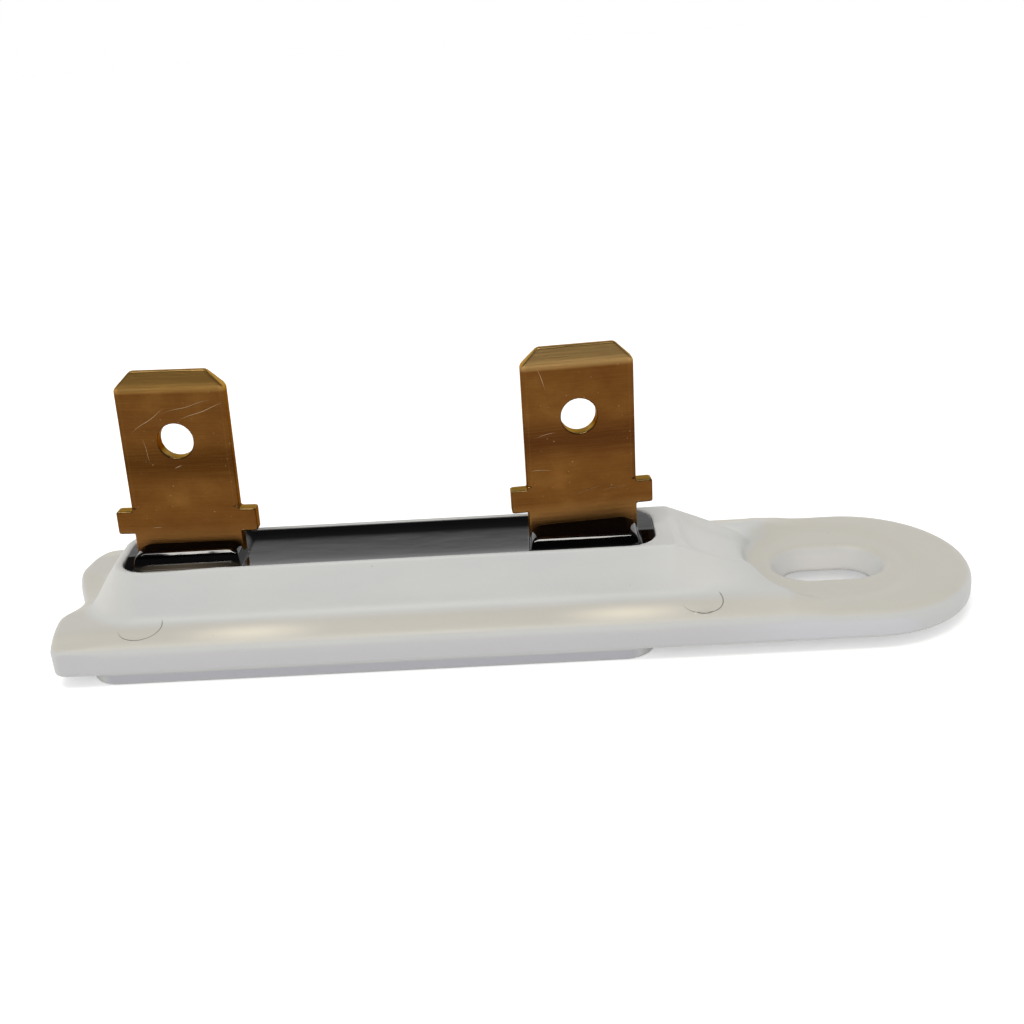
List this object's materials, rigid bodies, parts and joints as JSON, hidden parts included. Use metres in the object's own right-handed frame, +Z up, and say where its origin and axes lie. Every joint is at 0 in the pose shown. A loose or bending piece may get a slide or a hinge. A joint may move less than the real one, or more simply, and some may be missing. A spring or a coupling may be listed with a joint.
{
  "type": "thermal fuse",
  "caption": "One-shot thermal fuse: pellet cutoff potted in a white moulded housing with upright blade terminals and a slotted mounting ear.",
  "frame": {"origin": "under the middle of the housing, at the level of the pad's underside", "axes": "+X runs along the housing from its plain end to its slotted ear, +Y across it, +Z up along the blades"},
  "size_m": [0.0534, 0.0136, 0.0163],
  "materials": {
    "housing": "satin white moulded thermoset",
    "potting": "glossy black epoxy",
    "terminals": "stamped, lightly scratched brass",
    "plated_steel": "plated",
    "leads": "tinned copper",
    "ceramic": "unglazed",
    "seal": "cured resin",
    "pellet": "pressed organic pellet"
  },
  "bodies": {
    "root": {"housing": "housing", "potting": "potting", "terminal_left": "terminals", "terminal_right": "terminals", "cutoff_case": "plated_steel", "case_lead": "leads", "isolated_lead": "leads", "ceramic_bushing": "ceramic", "lead_seal": "seal", "thermal_pellet": "pellet", "pellet_disc": "plated_steel", "contact_disc": "plated_steel", "barrel_spring": "plated_steel", "trip_spring": "plated_steel", "star_contact": "leads"}
  },
  "joints": []
}
